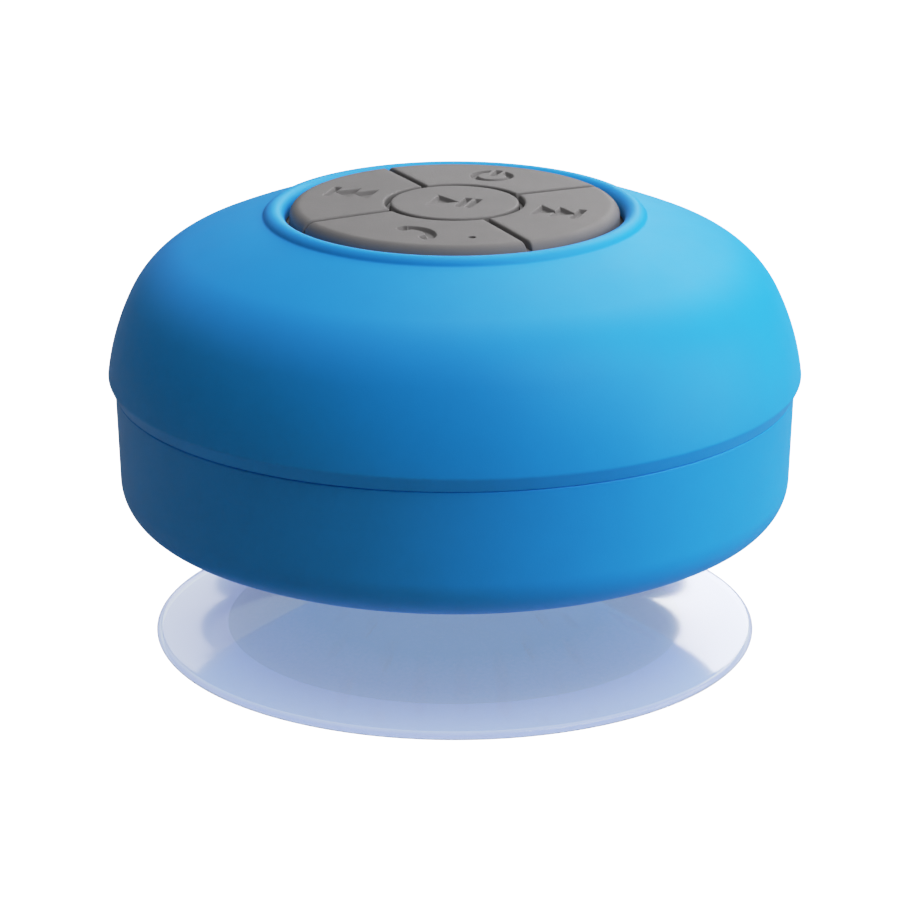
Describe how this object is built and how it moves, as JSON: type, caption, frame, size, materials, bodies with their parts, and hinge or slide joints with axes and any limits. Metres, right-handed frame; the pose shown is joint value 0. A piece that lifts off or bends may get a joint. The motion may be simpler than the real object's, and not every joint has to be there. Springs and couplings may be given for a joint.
{
  "type": "shower speaker",
  "caption": "Round wireless shower speaker with a soft blue body, a grey key pad on top and a clear suction cup that holds it to a tiled wall.",
  "frame": {"origin": "centre of the plane that the suction cup's rim lies in", "axes": "+Z from the wall towards the keys, +X towards the next-track key, -Y towards the answer key, +Y towards the charging socket"},
  "size_m": [0.086, 0.086, 0.0557],
  "materials": {
    "aluminium_former": "bright",
    "battery_foil": "foil pouch",
    "black_cone": "pressed film",
    "black_mesh": "woven",
    "black_plastic": "moulded",
    "black_rubber": "matte",
    "black_steel": "black coat",
    "blue_cover": "matte, soft-touch",
    "blue_silicone": "matte, soft-touch",
    "circuit_board": "solder mask",
    "clear_cup": "clear, glossy, slightly violet",
    "copper_wire": "enamelled copper",
    "ferrite": "sintered",
    "foam": "closed-cell foam",
    "grey_silicone": "matte",
    "lead_wire": "insulated",
    "nickel": "plated",
    "screw_steel": "zinc plated",
    "spider_cloth": "resin-treated cloth",
    "white_plastic": "moulded",
    "zinc_steel": "zinc plated"
  },
  "bodies": {
    "housing": {"amplifier_chip": "black_plastic", "battery": "battery_foil", "battery_leads": "lead_wire", "battery_pad": "foam", "bluetooth_chip": "black_plastic", "board_connectors": "white_plastic", "board_screws": "screw_steel", "charge_board": "circuit_board", "charge_board_screws": "screw_steel", "charge_leads": "lead_wire", "cover_pin": "screw_steel", "cup_retainer": "blue_cover", "driver_basket": "black_steel", "driver_gasket": "foam", "driver_magnet": "ferrite", "driver_screws": "screw_steel", "driver_spider": "spider_cloth", "driver_surround": "black_rubber", "driver_terminals": "circuit_board", "driver_top_plate": "zinc_steel", "driver_yoke": "zinc_steel", "keypad_web": "grey_silicone", "lower_shell": "blue_cover", "main_board": "circuit_board", "mic_boot": "black_rubber", "microphone": "nickel", "retainer_screws": "screw_steel", "seal_ring": "black_rubber", "shell_screws": "screw_steel", "speaker_leads": "lead_wire", "speaker_mesh": "black_mesh", "tact_switches": "black_plastic", "top_shell": "white_plastic", "top_skin": "blue_silicone", "usb_socket": "nickel"},
    "key_play": {"key_play": "grey_silicone", "plunger_play": "black_plastic"},
    "key_power": {"key_power": "grey_silicone", "plunger_power": "black_plastic"},
    "key_next": {"key_next": "grey_silicone", "plunger_next": "black_plastic"},
    "key_call": {"key_call": "grey_silicone", "plunger_call": "black_plastic"},
    "key_previous": {"key_previous": "grey_silicone", "plunger_previous": "black_plastic"},
    "cup": {"suction_cup": "clear_cup"},
    "socket_flap": {"usb_cover": "blue_silicone"},
    "cone": {"driver_cone": "black_cone", "dust_cap": "black_cone", "coil_former": "aluminium_former", "voice_coil": "copper_wire"}
  },
  "joints": [
    {"name": "press_play", "type": "slide", "parent": "housing", "child": "key_play", "axis": [0, 0, -1], "range_m": [0, 0.0006], "stiffness_N_per_m": 800},
    {"name": "press_power", "type": "slide", "parent": "housing", "child": "key_power", "axis": [0, 0, -1], "range_m": [0, 0.0006], "stiffness_N_per_m": 800},
    {"name": "press_next", "type": "slide", "parent": "housing", "child": "key_next", "axis": [0, 0, -1], "range_m": [0, 0.0006], "stiffness_N_per_m": 800},
    {"name": "press_call", "type": "slide", "parent": "housing", "child": "key_call", "axis": [0, 0, -1], "range_m": [0, 0.0006], "stiffness_N_per_m": 800},
    {"name": "press_previous", "type": "slide", "parent": "housing", "child": "key_previous", "axis": [0, 0, -1], "range_m": [0, 0.0006], "stiffness_N_per_m": 800},
    {"name": "cup_swivel", "type": "hinge", "parent": "housing", "child": "cup", "pos_m": [0, 0, 0.0138], "axis": [0, 0, 1], "continuous": true},
    {"name": "flap_swing", "type": "hinge", "parent": "housing", "child": "socket_flap", "pos_m": [0.0076, 0.0406, 0.0267], "axis": [0, 0, -1], "range_deg": [0, 100]},
    {"name": "cone_travel", "type": "slide", "parent": "housing", "child": "cone", "axis": [0, 0, 1], "range_m": [-0.001, 0.001], "stiffness_N_per_m": 1500, "deforming": ["driver_surround", "driver_spider"]}
  ]
}
